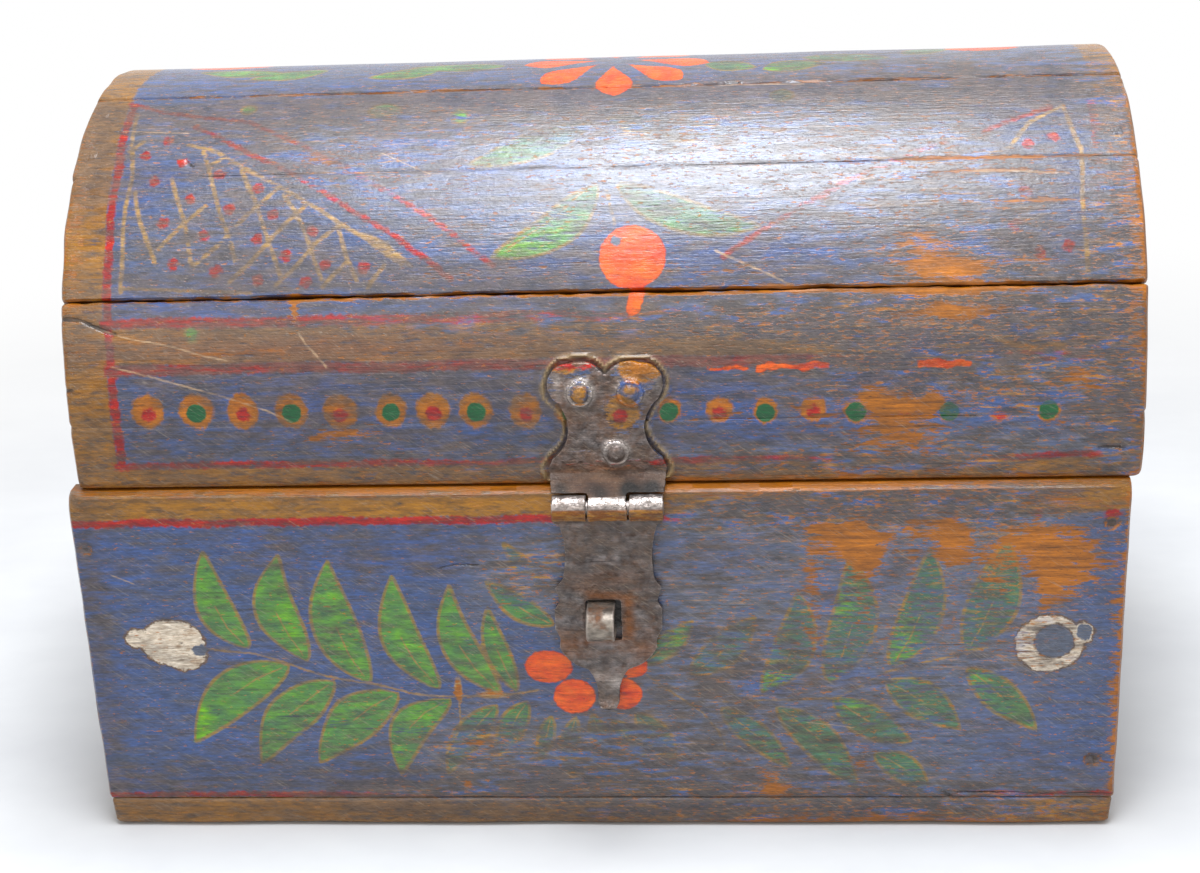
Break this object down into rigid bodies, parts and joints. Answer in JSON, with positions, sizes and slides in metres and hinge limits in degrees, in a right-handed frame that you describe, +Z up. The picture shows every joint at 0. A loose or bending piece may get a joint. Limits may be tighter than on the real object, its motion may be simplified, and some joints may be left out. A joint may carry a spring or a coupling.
{
  "type": "storage box",
  "caption": "Small nailed-board chest with a coopered dome lid on rear leaf hinges and an iron hasp that drops over a staple; painted blue with ochre bands and leaf sprays.",
  "frame": {"origin": "centre of the underside of the bottom board, on the surface the box stands on", "axes": "+Z up, -Y out of the front face with the hasp, +X to the right of someone facing the front"},
  "size_m": [0.3032, 0.1906, 0.2124],
  "materials": {
    "painted_walls": "worn blue distemper over brown wood",
    "painted_bottom": "worn ochre paint on the edge, bare wood below",
    "painted_end_boards": "worn blue paint outside, bare wood inside",
    "painted_staves": "worn, lightly waxed blue paint with ochre and red bands outside, bare wood inside",
    "forged_iron": "hand-forged, dark, with rubbed edges and paint traces",
    "nail_iron": "rusted dark brown"
  },
  "bodies": {
    "base": {"bottom_board": "painted_bottom", "front_board": "painted_walls", "back_board": "painted_walls", "left_end_board": "painted_end_boards", "right_end_board": "painted_end_boards", "front_nails": "nail_iron", "back_nails": "nail_iron", "bottom_nails": "nail_iron", "hasp_staple": "forged_iron", "left_hinge_base_leaf": "forged_iron", "right_hinge_base_leaf": "forged_iron", "base_leaf_nails": "nail_iron", "left_hinge_pin": "forged_iron", "right_hinge_pin": "forged_iron"},
    "lid": {"lid_left_end": "painted_end_boards", "lid_right_end": "painted_end_boards", "lid_front_rail": "painted_staves", "lid_back_rail": "painted_staves", "front_lower_stave": "painted_staves", "front_middle_stave": "painted_staves", "front_upper_stave": "painted_staves", "crown_stave": "painted_staves", "back_upper_stave": "painted_staves", "back_middle_stave": "painted_staves", "back_lower_stave": "painted_staves", "lid_nails": "nail_iron", "left_hinge_lid_leaf": "forged_iron", "right_hinge_lid_leaf": "forged_iron", "lid_leaf_nails": "nail_iron", "hasp_plate": "forged_iron", "hasp_plate_rivets": "forged_iron", "hasp_pin": "forged_iron"},
    "hasp": {"hasp_strap": "forged_iron"}
  },
  "joints": [
    {"name": "lid_hinge", "type": "hinge", "parent": "base", "child": "lid", "pos_m": [0, 0.08996, 0.10885], "axis": [-1, 0, 0], "range_deg": [0, 180]},
    {"name": "hasp_hinge", "type": "hinge", "parent": "lid", "child": "hasp", "pos_m": [0.00525, -0.09066, 0.1053], "axis": [-1, 0, 0], "range_deg": [0, 190]}
  ]
}
